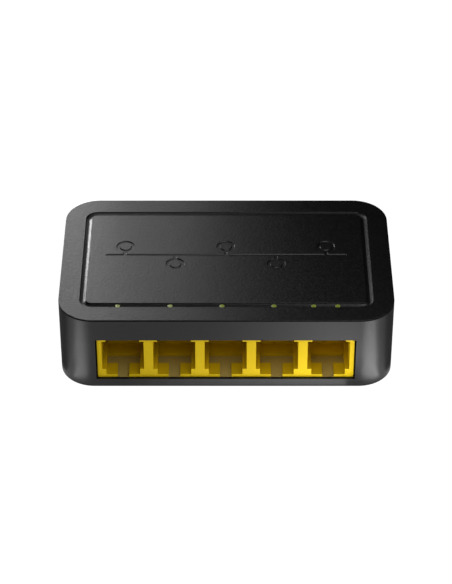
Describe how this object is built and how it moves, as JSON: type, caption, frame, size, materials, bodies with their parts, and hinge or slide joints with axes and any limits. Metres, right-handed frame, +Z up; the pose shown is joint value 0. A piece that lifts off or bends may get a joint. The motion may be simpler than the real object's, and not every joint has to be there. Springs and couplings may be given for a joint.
{
  "type": "desktop network switch",
  "caption": "Small black desktop network switch: flat box with a row of yellow modular ports in front, indicator dots in a grooved top and a round power inlet behind.",
  "frame": {"origin": "centre of the footprint, at the level the rubber feet stand on", "axes": "+X along the row of ports, to the right as seen from the port side; +Y to the rear, so the ports face -Y; +Z up"},
  "size_m": [0.091, 0.0556, 0.0236],
  "materials": {
    "case_plastic": "fine-grained black ABS, glossy in the groove",
    "jack_plastic": "yellow PBT, satin",
    "guide_clear": "clear polycarbonate lit yellow-green",
    "tray_plastic": "black glass-filled PBT",
    "contact_gold": "gold-plated phosphor bronze",
    "board": "green solder mask, bare laminate under the jack",
    "package": "black epoxy",
    "can_metal": "drawn aluminium can",
    "led": "chip LED, milky lens",
    "steel": "nickel-plated steel",
    "foot_rubber": "matte black rubber",
    "label": "blank silver polyester label"
  },
  "bodies": {
    "case": {"lower_case": "case_plastic", "top_cover": "case_plastic", "light_guide": "guide_clear", "jack_housing": "jack_plastic", "contact_tray_1": "tray_plastic", "contact_tray_2": "tray_plastic", "contact_tray_3": "tray_plastic", "contact_tray_4": "tray_plastic", "contact_tray_5": "tray_plastic", "port_transformer_1": "package", "port_transformer_2": "package", "port_transformer_3": "package", "port_transformer_4": "package", "port_transformer_5": "package", "circuit_board": "board", "switch_chip": "package", "clock_crystal": "can_metal", "capacitor_input": "can_metal", "capacitor_output": "can_metal", "power_inductor": "package", "regulator": "package", "indicator_led_1": "led", "indicator_led_2": "led", "indicator_led_3": "led", "indicator_led_4": "led", "indicator_led_5": "led", "indicator_led_6": "led", "inlet_housing": "tray_plastic", "inlet_pin": "steel", "foot_1": "foot_rubber", "foot_2": "foot_rubber", "foot_3": "foot_rubber", "foot_4": "foot_rubber", "case_screw_1": "steel", "case_screw_2": "steel", "rating_label": "label"},
    "port_1_contacts": {"contact_1_1": "contact_gold", "contact_1_2": "contact_gold", "contact_1_3": "contact_gold", "contact_1_6": "contact_gold"},
    "port_2_contacts": {"contact_2_1": "contact_gold", "contact_2_2": "contact_gold", "contact_2_3": "contact_gold", "contact_2_6": "contact_gold"},
    "port_3_contacts": {"contact_3_1": "contact_gold", "contact_3_2": "contact_gold", "contact_3_3": "contact_gold", "contact_3_6": "contact_gold"},
    "port_4_contacts": {"contact_4_1": "contact_gold", "contact_4_2": "contact_gold", "contact_4_3": "contact_gold", "contact_4_6": "contact_gold"},
    "port_5_contacts": {"contact_5_1": "contact_gold", "contact_5_2": "contact_gold", "contact_5_3": "contact_gold", "contact_5_6": "contact_gold"},
    "inlet_leaf": {"inlet_spring": "steel"}
  },
  "joints": [
    {"name": "port_1_contact_flex", "type": "hinge", "parent": "case", "child": "port_1_contacts", "pos_m": [-0.02813, -0.0242, 0.0145], "axis": [1, 0, 0], "range_deg": [0, 17], "stiffness_Nm_per_rad": 0.05, "springref_deg": -2.86},
    {"name": "port_2_contact_flex", "type": "hinge", "parent": "case", "child": "port_2_contacts", "pos_m": [-0.01416, -0.0242, 0.0145], "axis": [1, 0, 0], "range_deg": [0, 17], "stiffness_Nm_per_rad": 0.05, "springref_deg": -2.86},
    {"name": "port_3_contact_flex", "type": "hinge", "parent": "case", "child": "port_3_contacts", "pos_m": [-0.00019, -0.0242, 0.0145], "axis": [1, 0, 0], "range_deg": [0, 17], "stiffness_Nm_per_rad": 0.05, "springref_deg": -2.86},
    {"name": "port_4_contact_flex", "type": "hinge", "parent": "case", "child": "port_4_contacts", "pos_m": [0.01378, -0.0242, 0.0145], "axis": [1, 0, 0], "range_deg": [0, 17], "stiffness_Nm_per_rad": 0.05, "springref_deg": -2.86},
    {"name": "port_5_contact_flex", "type": "hinge", "parent": "case", "child": "port_5_contacts", "pos_m": [0.02775, -0.0242, 0.0145], "axis": [1, 0, 0], "range_deg": [0, 17], "stiffness_Nm_per_rad": 0.05, "springref_deg": -2.86},
    {"name": "inlet_leaf_flex", "type": "hinge", "parent": "case", "child": "inlet_leaf", "pos_m": [0.024, 0.0156, 0.0061], "axis": [-1, 0, 0], "range_deg": [0, 7], "stiffness_Nm_per_rad": 0.05, "springref_deg": -2.86}
  ]
}
